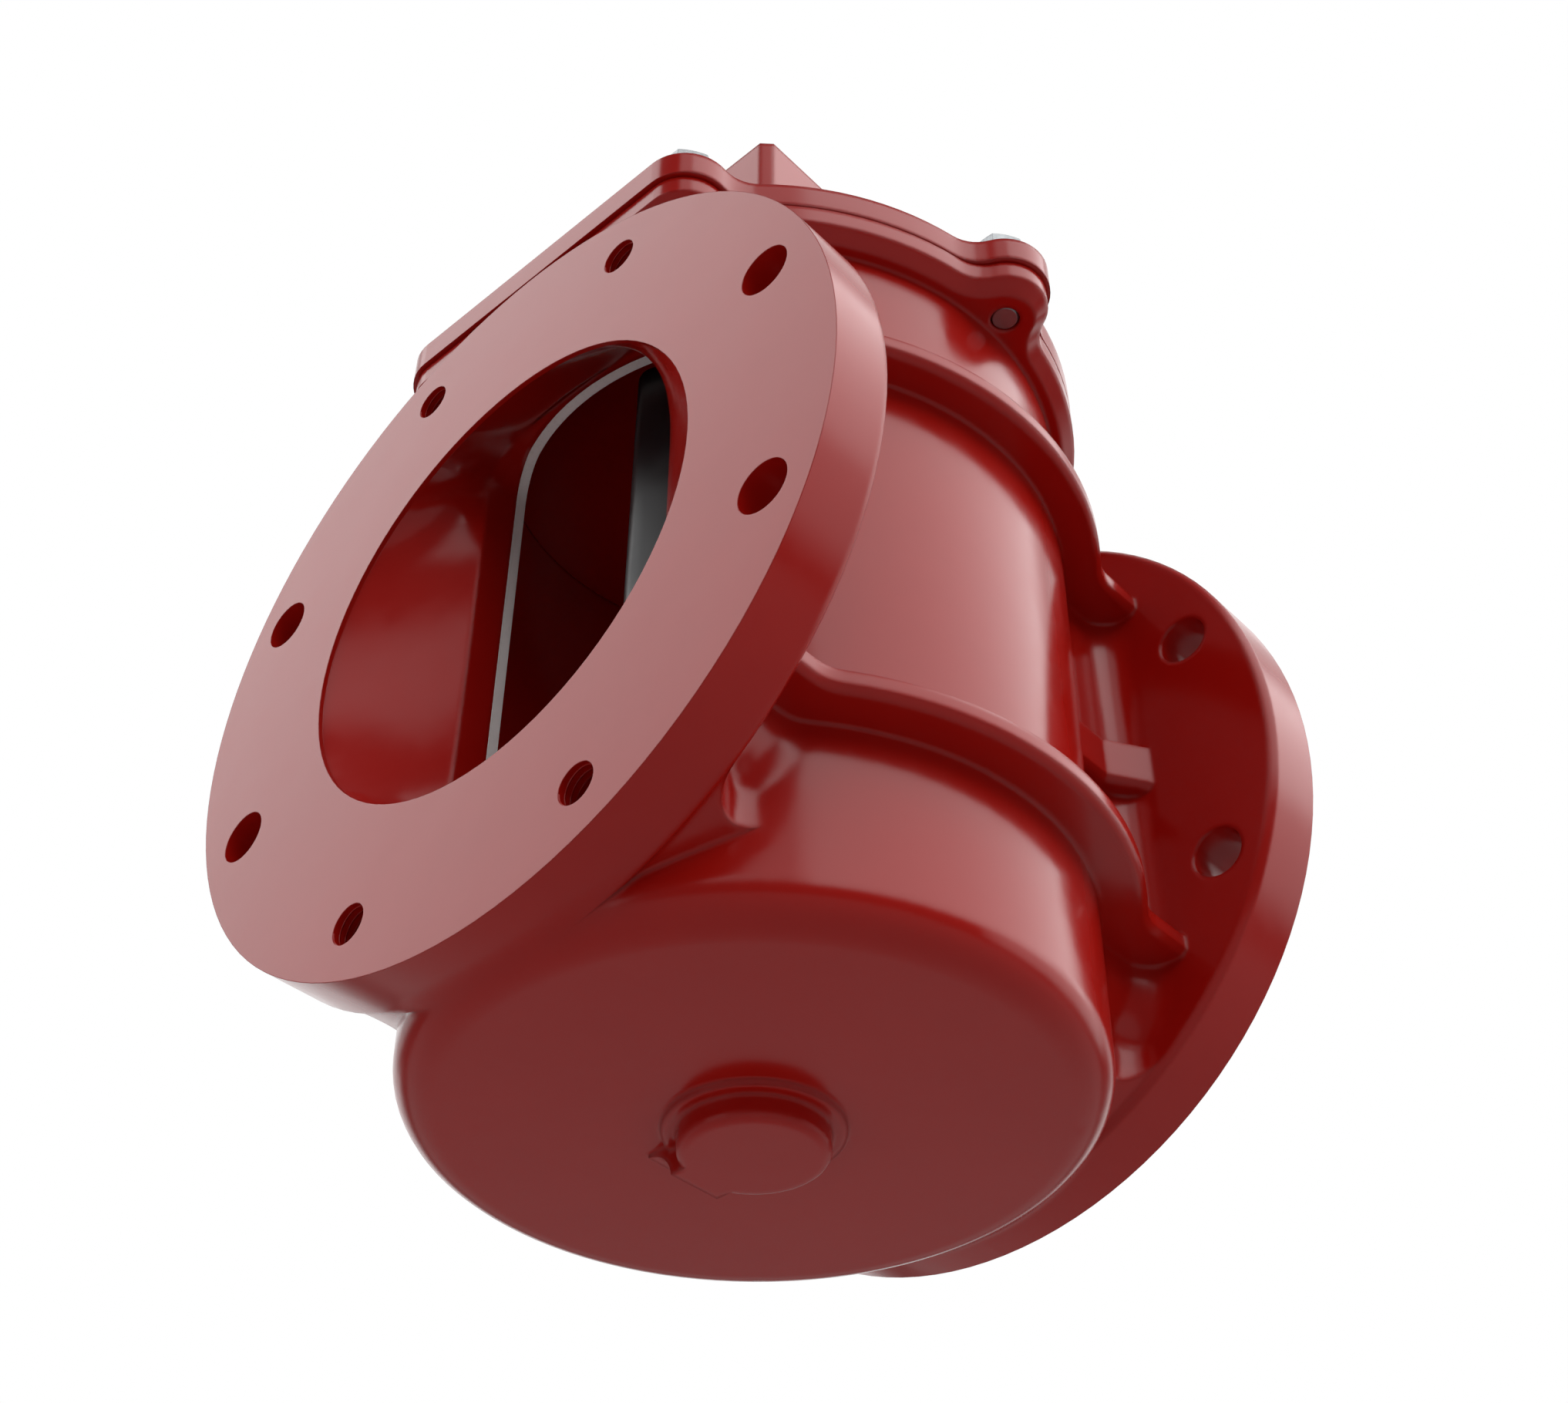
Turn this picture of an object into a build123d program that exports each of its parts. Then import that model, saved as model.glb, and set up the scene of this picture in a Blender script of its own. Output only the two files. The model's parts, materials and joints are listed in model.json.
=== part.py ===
from build123d import *
import math
import os

# Eccentric plug valve, 8 inch, in millimetres.
# The pipe runs along X, the stem stands along Z, and the plug closes toward -X.
# The model is drawn about the crossing of both axes and shifted when it is written.

# End flanges, 8 inch class 125 drilling
face_to_face = 292.1
flange_r = 171.45
flange_t = 28.575
flange_back_bevel = 2.5
bore_r = 101.6
bore_land = 2.0
bolt_edge_distance = 22.225
clearance_hole_r = 11.1
tapped_hole_r = 8.2
tapped_hole_depth = 25.0

# Drum
end_wall = 26.05
drum_wall = 10.0
drum_draft = 3.9
drum_edge_round = 15.0
joint_over_flange = 5.05
floor_over_joint = 1.0
floor_t = 15.5

# Necks between drum and flanges
neck_inset = 32.0
neck_flange_step = 26.45
neck_corner = 50.0
neck_blend = 14.0
rim_blend = 9.0
plate_over = 60.0

# Ring ribs and gussets
rib_z = 91.5
rib_t = 11.0
rib_reach = 19.3
rib_run_in = 31.3
rib_blend = 18.0
rib_edge_bevel = 2.5
rib_foot = 7.0
gusset_half_z = 12.0
gusset_over_neck = 5.5
gusset_flare = 11.0
gusset_flare_run = 18.0

# Bottom boss
boss_r = 28.0
boss_step = 5.5
boss_step_h = 2.5
boss_h = 12.5
boss_edge_round = 3.4
tab_half_x = 12.0
tab_overhang = 1.5
tab_foot = 12.0

# Top flange and bonnet flange
rim_reach = 14.5
ear_inset = 1.8
ear_angle = 30.0
body_ear_r = 18.8
bonnet_ear_r = 20.6
ear_blend = 18.0
top_flange_t = 16.0
top_flange_bevel = 6.0
joint_groove = 0.9
bonnet_flange_t = 13.5
bonnet_bolt_count = 6

# Bonnet bolts, half inch
bolt_r = 6.35
bolt_hole_r = 7.0
thread_gap = 0.05
bolt_head_af = 22.225
bolt_head_h = 12.0
bolt_head_turn = -4.0
washer_face_r = 13.5
washer_face_t = 2.0
bolt_end_recess = 0.6
bolt_end_chamfer = 0.6

# Port and seat
port_half_y = 55.0
port_corner = 16.0
seat_wall = 9.2
seat_overlay_t = 4.4
seat_land = 10.0
eccentricity = 6.0
throat_depth = 30.05
outlet_inset_y = 18.0
outlet_inset_z = 29.0
outlet_corner = 40.0

# Plug
seat_gap = 0.3
facing_t = 9.0
facing_overlap = 5.5
facing_corner = 12.0
core_face_t = 17.0
core_border = 8.0
arm_t = 20.0
arm_half_y = 44.0
hub_r = 40.0
hub_rise = 9.0
rest_angle = 45.0

# Stem, trunnion and bearings
stem_r = 22.225
running_fit = 0.035
bearing_wall = 3.75
bearing_l = 28.0
bearing_to_joint = 0.5
trunnion_end_gap = 2.0
washer_t = 3.0
washer_inner_gap = 0.4
washer_r = 30.0
face_fit = 0.05
grit_gap = 0.5
grit_w = 5.5
grit_groove = 2.0
stem_chamfer = 1.5
drive_register_r = 20.0
drive_register_l = 17.0
drive_end_r = 19.05
keyseat_w = 9.525
keyseat_l = 45.0

# Bonnet pad, yoke and stuffing box
pad_half_x = 78.0
pad_half_y = 75.0
pad_corner_chamfer = 4.5
pad_bolt_half = 49.5
pad_bolt_r = 8.0
pad_bolt_depth = 21.0
pad_t = 26.0
window_half_x = 50.0
window_sill = 14.0
window_h = 48.0
window_corner = 6.0
pad_bore_gap = 2.0
box_bottom_t = 9.5
box_h = 36.0
box_wall_r = 42.0
packing_r = 31.75
stem_clearance = 0.8

# Packing
base_ring_h = 5.0
vee_h = 6.0
vee_peak = 2.5
vee_count = 4
top_ring_h = 5.0

# Gland
gland_stud_r = 6.35
gland_stud_y = 46.0
gland_stud_depth = 22.0
gland_ear_r = 14.0
gland_plate_rim = 6.0
gland_plate_inset = 2.0
gland_hole_gap = 0.6
gland_nose_gap = 0.2
gland_gap = 6.0
gland_flange_t = 11.0
gland_nut_af = 19.05
gland_nut_h = 8.0
gland_stud_over = 3.0

# Gasket
gasket_land = 2.5
gasket_w = 5.0
gasket_t = 2.0

# Heights above and below the pipe axis
joint_z = flange_r + joint_over_flange
drum_bottom_z = -joint_z - floor_over_joint
boss_face_z = joint_z - bearing_to_joint - bearing_l
hub_face_z = boss_face_z - washer_t
core_half_z = hub_face_z - hub_rise
port_half_z = core_half_z - core_border - facing_overlap
outlet_half_z = flange_r - neck_flange_step - outlet_inset_z
bonnet_top_z = joint_z + bonnet_flange_t
box_floor_z = joint_z + box_bottom_t
box_top_z = box_floor_z + box_h
window_bottom_z = bonnet_top_z + window_sill
window_top_z = window_bottom_z + window_h
pad_top_z = window_top_z + pad_t
gland_flange_z = box_top_z + gland_gap
keyseat_low_z = pad_top_z + drive_register_l
stem_end_z = keyseat_low_z + keyseat_l

# Distances from the stem and from the pipe axis
cavity_r = face_to_face / 2 - end_wall
drum_r = cavity_r + drum_wall
flange_back_x = face_to_face / 2 - flange_t
throat_x = face_to_face / 2 - throat_depth
bolt_circle_r = flange_r - bolt_edge_distance
rim_r = drum_r + rim_reach
ear_pitch_r = rim_r - ear_inset
ear_x = ear_pitch_r * math.cos(math.radians(ear_angle))
ear_y = ear_pitch_r * math.sin(math.radians(ear_angle))
rib_r = drum_r + rib_reach
rib_half_y = rib_r - rib_run_in
rib_root_x = flange_back_x + rib_foot
neck_half_y = drum_r - neck_inset
neck_half_z = flange_r - neck_flange_step
gusset_y = neck_half_y + gusset_over_neck
outlet_half_y = neck_half_y - outlet_inset_y
seat_r = cavity_r - seat_wall
facing_r = seat_r - seat_gap
core_face_r = facing_r - facing_t
bearing_r = stem_r + running_fit
bearing_outer_r = bearing_r + bearing_wall
grit_inner_r = washer_r + grit_gap
grit_outer_r = grit_inner_r + grit_w
gasket_outer_r = cavity_r + gasket_land + gasket_w
gasket_inner_r = cavity_r + gasket_land


def ring(outer, inner, z0, z1):
    shape = Cylinder(outer, z1 - z0) - Cylinder(inner, z1 - z0)
    return Pos(0, 0, (z0 + z1) / 2) * shape


def rod(radius, z0, z1):
    return Pos(0, 0, (z0 + z1) / 2) * Cylinder(radius, z1 - z0)


def hex_prism(across_flats, height):
    return extrude(RegularPolygon(across_flats / math.sqrt(3), 6), height)


def x_bar(half_y, half_z, corner, x0, x1):
    """A rounded bar along X from x0 to x1."""
    face = Plane(origin=(x0, 0, 0), x_dir=(0, 1, 0), z_dir=(1, 0, 0))
    return extrude(face * RectangleRounded(2 * half_y, 2 * half_z, corner), x1 - x0)


def bore_loft(side, half_y, half_z, corner, y):
    """The passage from the round bore at a flange to a rounded rectangle."""
    face_x = side * face_to_face / 2
    end = Plane(origin=(face_x - side * bore_land, 0, 0), x_dir=(0, 1, 0), z_dir=(1, 0, 0))
    throat = Plane(origin=(side * throat_x, y, 0), x_dir=(0, 1, 0), z_dir=(1, 0, 0))
    land = Pos(face_x, 0, 0) * Rot(0, 90, 0) * Cylinder(bore_r, 2 * bore_land)
    outline = throat * RectangleRounded(2 * half_y, 2 * half_z, corner)
    return land + loft([end * Circle(bore_r), outline])


def ear_locations(z):
    return Pos(0, 0, z) * PolarLocations(ear_pitch_r, bonnet_bolt_count, ear_angle)


def eared_outline(ear_r, inset=0):
    """The top joint seen from above: a round rim with six ears and two straight sides."""
    side_x = ear_x + ear_r - inset
    outline = Circle(rim_r - inset) & Rectangle(2 * side_x, 2 * rim_r)
    outline += PolarLocations(ear_pitch_r, bonnet_bolt_count, ear_angle) * Circle(ear_r - inset)
    outline += Rectangle(2 * side_x, 2 * ear_y)
    hollows = outline.vertices().filter_by(lambda v: abs(v.X) < ear_x)
    return fillet(hollows, ear_blend + inset)


def drum(over=0):
    """The tapered drum, with the seam of its surface away from the flanges."""
    height = joint_z - drum_bottom_z
    top_r = drum_r + drum_draft * (height + over) / height
    shape = Pos(0, 0, drum_bottom_z + (height + over) / 2) * Cone(drum_r, top_r, height + over)
    return Rot(0, 0, 90) * fillet(shape.edges().sort_by(Axis.Z)[0], drum_edge_round)


def end_flange(side):
    shape = Cylinder(flange_r, flange_t)
    shape = chamfer(shape.edges().sort_by(Axis.Z)[0], flange_back_bevel)
    return Pos(side * (flange_back_x + flange_t / 2), 0, 0) * Rot(0, side * 90, 0) * shape


def ring_rib(z):
    outline = Circle(rib_r) + Rectangle(2 * rib_root_x, 2 * rib_half_y)
    meets = outline.vertices().filter_by(lambda v: abs(v.X) < flange_back_x)
    outline = fillet(meets, rib_blend)
    shape = Pos(0, 0, z - rib_t / 2) * extrude(outline, rib_t)
    shape = shape & Box(2 * rib_root_x, 4 * rib_r, 4 * rib_r)
    rims = shape.edges().filter_by(GeomType.LINE, reverse=True)
    rims += shape.edges().filter_by(Axis.X)
    return chamfer(rims, rib_edge_bevel)


def gusset(side_x, side_y):
    start_x = flange_back_x - gusset_flare_run
    with_flare = Polyline(
        (0, 0), (rib_root_x, 0), (rib_root_x, gusset_y + gusset_flare),
        (flange_back_x, gusset_y + gusset_flare), (start_x, gusset_y), (0, gusset_y), close=True,
    )
    shape = extrude(make_face(with_flare), 2 * gusset_half_z)
    shape = Pos(0, 0, -gusset_half_z) * shape
    outer = shape.edges().filter_by(lambda e: e.center().Y > gusset_y - 1)
    shape = chamfer(outer.filter_by(Axis.Z, reverse=True), rib_edge_bevel)
    if side_x < 0:
        shape = mirror(shape, Plane.YZ)
    if side_y < 0:
        shape = mirror(shape, Plane.XZ)
    return shape


def bottom_boss():
    """The trunnion boss with its low step and the small lug on one side."""
    z = drum_bottom_z
    low = z - boss_h
    pad = rod(boss_r, low, z + floor_t)
    pad = fillet(pad.edges().sort_by(Axis.Z)[0], boss_edge_round)
    pad += rod(boss_r + boss_step, z - boss_step_h, z + floor_t)
    side = Plane(origin=(-tab_half_x, 0, 0), x_dir=(0, 1, 0), z_dir=(1, 0, 0))
    tab_y = boss_r + tab_overhang
    foot_y = tab_y + tab_foot
    foot = (foot_y, z - boss_step_h / 2)
    hollow = (tab_y + 0.3 * tab_foot, z - 0.4 * boss_h)
    profile = Polyline(foot, (foot_y, z + 1), (0, z + 1), (0, low), (tab_y, low))
    profile += ThreePointArc((tab_y, low), hollow, foot)
    return pad + extrude(side * make_face(profile), 2 * tab_half_x)


def top_flange():
    """The eared flange under the bonnet, bevelled below, with a thin groove at the joint."""
    low = joint_z - top_flange_t
    edge_z = low + top_flange_bevel
    groove_z = joint_z - joint_groove
    outline = Pos(0, 0, edge_z) * eared_outline(body_ear_r)
    inner = Pos(0, 0, low) * eared_outline(body_ear_r, top_flange_bevel)
    shape = extrude(outline, groove_z - edge_z) + loft([inner, outline], ruled=True)
    return shape + Pos(0, 0, groove_z) * extrude(eared_outline(body_ear_r, joint_groove), joint_groove)


def blended_necks():
    """Drum and necks, blended into each other and into oversize plates, then cut round."""
    shape = drum(plate_over) + x_bar(neck_half_y, neck_half_z, neck_corner, -flange_back_x, flange_back_x)
    plate = Box(flange_t, 2 * flange_r + plate_over, 2 * (joint_z + plate_over + flange_t))
    for side in (-1, 1):
        shape += Pos(side * (flange_back_x + flange_t / 2), 0, 0) * plate
    beside = shape.edges().filter_by(lambda e: cavity_r / 2 < abs(e.center().X) < flange_back_x + 0.01)
    beside = beside.filter_by(lambda e: e.center().Z < joint_z + plate_over / 2)
    roots = beside.filter_by(lambda e: abs(e.center().X) > flange_back_x - 0.01)
    roots = roots.filter_by(lambda e: abs(e.center().Y) < flange_r)
    corners = beside.filter_by(lambda e: abs(e.center().X) < flange_back_x - 1)
    corners = corners.filter_by(lambda e: abs(e.center().Y) > neck_half_y - neck_corner)
    shape = fillet(roots + corners, neck_blend)
    return shape & Rot(0, 90, 0) * Cylinder(flange_r - flange_back_bevel, face_to_face)


def pipe_axis_distance(edge):
    middle = edge.position_at(0.5)
    return math.hypot(middle.Y, middle.Z)


def casting():
    """The outside of the body: drum, necks, flanges and top flange with their blends."""
    shape = drum() + blended_necks() + end_flange(-1) + end_flange(1)
    seams = shape.edges().filter_by(GeomType.BSPLINE).filter_by(lambda e: e.center().Z < 0)
    seams = seams.filter_by(lambda e: abs(pipe_axis_distance(e) - flange_r) < 0.01)
    return fillet(seams, rim_blend) + top_flange()


def at_port(shape):
    """Moves a shape from the pipe axis to the middle of the port."""
    return Pos(0, -eccentricity, 0) * shape


def seat_frame():
    """The outline of the seat's land, as a bar along X."""
    half_y = port_half_y + seat_land
    half_z = port_half_z + seat_land
    return at_port(x_bar(half_y, half_z, port_corner + seat_land, -flange_back_x, 0))


def port():
    """The rectangular port through the seat."""
    return at_port(x_bar(port_half_y, port_half_z, port_corner, -throat_x, -cavity_r / 2))


def flange_holes(side):
    holes = []
    for k in range(8):
        angle = math.radians(180 / 8 * (2 * k + 1))
        y = bolt_circle_r * math.cos(angle)
        z = bolt_circle_r * math.sin(angle)
        face_x = side * face_to_face / 2
        near_side = abs(z) < abs(y)
        depth = flange_t if near_side else tapped_hole_depth
        radius = clearance_hole_r if near_side else tapped_hole_r
        drill = Rot(0, 90, 0) * Cylinder(radius, 2 * depth)
        holes.append(Pos(face_x, y, z) * drill)
    return holes


def valve_body():
    shape = casting()
    shape += [ring_rib(rib_z), ring_rib(-rib_z)]
    shape += [gusset(sx, sy) for sx in (-1, 1) for sy in (-1, 1)]
    shape += bottom_boss()
    floor_z = drum_bottom_z + floor_t
    shape -= rod(cavity_r, floor_z, joint_z + 1)
    shape += rod(hub_r, floor_z - 1, -boss_face_z)
    shape += seat_frame() - at_port(Cylinder(seat_r + seat_overlay_t, 4 * flange_r))
    shape -= bore_loft(-1, port_half_y, port_half_z, port_corner, -eccentricity)
    shape -= port()
    shape -= bore_loft(1, outlet_half_y, outlet_half_z, outlet_corner, 0)
    shape -= x_bar(outlet_half_y, outlet_half_z, outlet_corner, cavity_r / 2, throat_x)
    shape -= rod(bearing_outer_r, -boss_face_z - bearing_l, -boss_face_z)
    shape -= ring(grit_outer_r, grit_inner_r, -boss_face_z - grit_groove, -boss_face_z)
    shape -= gasket()
    shape -= ear_locations(joint_z) * Cylinder(bolt_r + thread_gap, 4 * top_flange_t)
    shape -= flange_holes(-1) + flange_holes(1)
    return shape


def seat_overlay():
    land = at_port(ring(seat_r + seat_overlay_t, seat_r, -joint_z, joint_z))
    return (land & seat_frame()) - port()


def gasket():
    return ring(gasket_outer_r, gasket_inner_r, joint_z - gasket_t, joint_z)


def plug_sector(outer, inner, half_y, half_z, corner):
    """A piece of a cylinder about the eccentric axis, cut to a rounded rectangle."""
    shell = ring(outer, inner, -half_z - 1, half_z + 1)
    return at_port(shell & x_bar(half_y, half_z, corner, -outer - 1, 0))


def at_rest(shape):
    return Rot(0, 0, rest_angle) * shape


def plug_core():
    """The plug's face, its two arms and hubs, the lower trunnion and the stem in one casting."""
    half_y = port_half_y + facing_overlap
    shape = plug_sector(core_face_r, core_face_r - core_face_t, half_y, core_half_z, facing_corner)
    trunnion_end = -boss_face_z - bearing_l + trunnion_end_gap
    hub_low = core_half_z - arm_t
    for side in (-1, 1):
        arm = Box(core_face_r, 2 * arm_half_y, arm_t, align=(Align.MAX, Align.CENTER, Align.CENTER))
        shape += Pos(0, 0, side * (core_half_z - arm_t / 2)) * arm
        z0, z1 = sorted((side * hub_low, side * (hub_face_z - face_fit)))
        shape += rod(hub_r, z0, z1)
    shape = shape & at_port(Cylinder(core_face_r, 4 * flange_r))
    lower = rod(stem_r, trunnion_end, -hub_low)
    upper = rod(drive_end_r, hub_low, stem_end_z)
    shape += chamfer(lower.edges().sort_by(Axis.Z)[0], stem_chamfer)
    shape += chamfer(upper.edges().sort_by(Axis.Z)[-1], stem_chamfer)
    shape += rod(stem_r, hub_low, pad_top_z) + rod(drive_register_r, hub_low, keyseat_low_z)
    keyseat = Pos(-drive_end_r, 0, stem_end_z) * Box(keyseat_w, keyseat_w, 2 * keyseat_l)
    return at_rest(shape - keyseat)


def plug_facing():
    half_y = port_half_y + facing_overlap
    half_z = port_half_z + facing_overlap
    return at_rest(plug_sector(facing_r, core_face_r, half_y, half_z, facing_corner))


def bearing(z0, z1):
    return ring(bearing_outer_r, bearing_r, z0, z1)


def thrust_washer(side):
    z0, z1 = sorted((side * hub_face_z, side * boss_face_z))
    return ring(washer_r, stem_r + washer_inner_gap, z0, z1)


def grit_seal(side):
    z0, z1 = sorted((side * hub_face_z, side * (boss_face_z + grit_groove)))
    return ring(grit_outer_r, grit_inner_r, z0, z1)


def gland_outline(body_r, ear_r):
    """An oval about the stem with an ear at each stud."""
    ears = Pos(0, gland_stud_y) * Circle(ear_r) + Pos(0, -gland_stud_y) * Circle(ear_r)
    return make_hull((Circle(body_r) + ears).edges())


def gland_locations(z):
    return [Pos(0, gland_stud_y, z), Pos(0, -gland_stud_y, z)]


def yoke():
    """The square tower under the actuator pad, open front and back to reach the gland."""
    low = bonnet_top_z - 1
    shape = Box(2 * pad_half_x, 2 * pad_half_y, pad_top_z - low)
    shape = chamfer(shape.edges().filter_by(Axis.Z), pad_corner_chamfer)
    window = Box(2 * window_half_x, 3 * pad_half_y, window_h)
    window = fillet(window.edges().filter_by(Axis.Y), window_corner)
    shape = Pos(0, 0, (pad_top_z + low) / 2) * shape
    return shape - Pos(0, 0, window_bottom_z + window_h / 2) * window


def bonnet():
    flange = extrude(eared_outline(bonnet_ear_r), bonnet_flange_t)
    tower = extrude(gland_outline(box_wall_r, gland_ear_r), box_top_z - bonnet_top_z + 1)
    shape = Pos(0, 0, joint_z) * flange + yoke() + Pos(0, 0, bonnet_top_z - 1) * tower
    shape += rod(hub_r, boss_face_z, joint_z + 1)
    shape -= rod(bearing_outer_r, boss_face_z, boss_face_z + bearing_l)
    shape -= rod(stem_r + stem_clearance, boss_face_z, box_floor_z + 1)
    shape -= rod(packing_r, box_floor_z, box_top_z + 1)
    shape -= rod(stem_r + pad_bore_gap, window_top_z - 1, pad_top_z + 1)
    shape -= ring(grit_outer_r, grit_inner_r, boss_face_z, boss_face_z + grit_groove)
    shape -= ear_locations(joint_z) * Cylinder(bolt_hole_r, 4 * bonnet_flange_t)
    for spot in gland_locations(box_top_z):
        shape -= spot * Cylinder(gland_stud_r + thread_gap, 2 * gland_stud_depth)
    pad_holes = GridLocations(2 * pad_bolt_half, 2 * pad_bolt_half, 2, 2)
    return shape - Pos(0, 0, pad_top_z) * pad_holes * Cylinder(pad_bolt_r, 2 * pad_bolt_depth)


def bonnet_bolt():
    length = bonnet_flange_t + top_flange_t - bolt_end_recess
    shank = Pos(0, 0, -length / 2) * Cylinder(bolt_r, length)
    shank = chamfer(shank.edges().sort_by(Axis.Z)[0], bolt_end_chamfer)
    head = Pos(0, 0, washer_face_t) * Rot(0, 0, bolt_head_turn) * hex_prism(bolt_head_af, bolt_head_h)
    return shank + rod(washer_face_r, 0, washer_face_t) + head


def packing_ring(z0, z1, low_peak, high_peak):
    """A packing ring whose lower and upper faces rise to a ridge at mid width."""
    inner, outer = bearing_r, packing_r
    middle = (inner + outer) / 2
    points = [(inner, z0), (middle, z0 + low_peak), (outer, z0), (outer, z1)]
    points += [(middle, z1 + high_peak), (inner, z1)]
    if not low_peak:
        points.pop(1)
    if not high_peak:
        points.remove((middle, z1))
    profile = Plane.XZ * make_face(Polyline(*points, close=True))
    return revolve(profile, Axis.Z)


def packing():
    rings = {}
    z = box_floor_z
    rings["packing_base_ring"] = packing_ring(z, z + base_ring_h, 0, vee_peak)
    z += base_ring_h
    for k in range(vee_count):
        rings[f"packing_vee_{k + 1}"] = packing_ring(z, z + vee_h, vee_peak, vee_peak)
        z += vee_h
    rings["packing_top_ring"] = packing_ring(z, z + top_ring_h, vee_peak, 0)
    return rings, z + top_ring_h


def gland_follower(packing_top):
    z0 = gland_flange_z
    outline = gland_outline(packing_r + gland_plate_rim, gland_ear_r - gland_plate_inset)
    plate = Pos(0, 0, z0) * extrude(outline, gland_flange_t)
    shape = plate + rod(packing_r - gland_nose_gap, packing_top, z0 + 1)
    shape -= rod(stem_r + stem_clearance, packing_top - 1, z0 + gland_flange_t + 1)
    for spot in gland_locations(z0):
        shape -= spot * Cylinder(gland_stud_r + gland_hole_gap, 4 * gland_flange_t)
    return shape


def gland_stud():
    z0 = box_top_z - gland_stud_depth
    z1 = gland_flange_z + gland_flange_t + gland_nut_h + gland_stud_over
    return rod(gland_stud_r, z0, z1)


def gland_nut():
    z0 = gland_flange_z + gland_flange_t
    shape = Pos(0, 0, z0) * hex_prism(gland_nut_af, gland_nut_h)
    return shape - rod(gland_stud_r + thread_gap, z0 - 1, z0 + gland_nut_h + 1)


def write(name, shape):
    """Writes one node with its origin at the centre of the seat flange face."""
    shape = Pos(face_to_face / 2, 0, 0) * shape
    shape.label = name
    export_step(shape, f"parts/{name}.step")


def main():
    os.makedirs("parts", exist_ok=True)
    nodes, packing_top = packing()
    nodes["valve_body"] = valve_body()
    nodes["seat_overlay"] = seat_overlay()
    nodes["bonnet"] = bonnet()
    nodes["bonnet_bolts"] = Part() + [s * bonnet_bolt() for s in ear_locations(bonnet_top_z)]
    nodes["bonnet_gasket"] = gasket()
    nodes["lower_bearing"] = bearing(-boss_face_z - bearing_l, -boss_face_z)
    nodes["upper_bearing"] = bearing(boss_face_z, boss_face_z + bearing_l)
    nodes["lower_thrust_washer"] = thrust_washer(-1)
    nodes["upper_thrust_washer"] = thrust_washer(1)
    nodes["lower_grit_seal"] = grit_seal(-1)
    nodes["upper_grit_seal"] = grit_seal(1)
    nodes["gland_follower"] = gland_follower(packing_top)
    nodes["gland_studs"] = Part() + [s * gland_stud() for s in gland_locations(0)]
    nodes["gland_nuts"] = Part() + [s * gland_nut() for s in gland_locations(0)]
    nodes["plug_core"] = plug_core()
    nodes["plug_facing"] = plug_facing()
    for name, shape in nodes.items():
        write(name, shape)


main()
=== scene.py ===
import json
import math

import bmesh
import bpy
import numpy as np
from bpy.props import FloatProperty, FloatVectorProperty, IntProperty, PointerProperty
from mathutils import Matrix, Vector


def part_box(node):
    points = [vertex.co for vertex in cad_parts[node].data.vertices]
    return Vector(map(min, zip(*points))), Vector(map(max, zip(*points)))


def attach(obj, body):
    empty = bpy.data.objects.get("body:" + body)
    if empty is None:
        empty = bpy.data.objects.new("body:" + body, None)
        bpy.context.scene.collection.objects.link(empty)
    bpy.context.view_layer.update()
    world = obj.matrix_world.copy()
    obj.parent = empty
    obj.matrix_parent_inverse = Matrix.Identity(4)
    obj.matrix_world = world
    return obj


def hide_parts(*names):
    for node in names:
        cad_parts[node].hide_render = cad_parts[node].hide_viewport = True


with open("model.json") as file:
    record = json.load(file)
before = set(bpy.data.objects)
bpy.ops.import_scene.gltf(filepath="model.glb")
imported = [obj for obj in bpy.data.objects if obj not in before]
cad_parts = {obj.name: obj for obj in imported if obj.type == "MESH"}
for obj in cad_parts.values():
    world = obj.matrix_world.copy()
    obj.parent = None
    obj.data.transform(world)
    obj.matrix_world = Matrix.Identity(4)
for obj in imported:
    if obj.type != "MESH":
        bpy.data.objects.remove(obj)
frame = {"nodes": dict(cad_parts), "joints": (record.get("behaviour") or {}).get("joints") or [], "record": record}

bl_info = {
    "name": "Eccentric plug valve",
    "version": (1, 0, 0),
    "blender": (4, 5, 0),
    "location": "View3D > Sidebar > Valve",
    "description": "Finishes, fasteners and stage for a flanged plug valve",
    "category": "Object",
}

# The frame: the pipe runs along X from the seat flange's face, and the stem stands along Z
STEM = Vector(frame["joints"][0]["pos_m"])
MOUNTS = {mount["name"]: mount for mount in frame["record"]["mounts"]}
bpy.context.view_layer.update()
MM = 0.001

# Sizes in metres
PAD_HEIGHT = 0.088         # the actuator pad over the face on which the screws sit
FOOT = 0.0005              # the slice at the lower ends of a node's fasteners, from which they are placed
MACHINED_DEPTH = 0.003     # so near to a machined face the paint's corners are crisp
CAST_DEPTH = 0.012         # and from here on they are soft
METAL_BEVEL = 0.0004       # rounding of the corners on bare and plated metal
IRON_BEVEL = 0.0015        # rounding of the corners on coated iron
UNDER_CUT = 0.0004         # cut at the lower corners of a hexagon
END_CHAMFER = 0.0009       # at the end of a cap screw
RUN_OUT = 0.0008           # from the end of the thread to the plain shank
FACE_BREAK = 0.0002        # at the foot of the washer face
WASHER_CHAMFER = 0.0003    # at the top of the washer face
STUD_CHAMFER = 0.001       # at both ends of a stud
NUT_CHAMFER = 0.0006       # at both ends of a nut's bore
NUT_GAP = 0.0001           # between a nut's bore and its stud
FLOOR_R = 7.0

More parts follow.
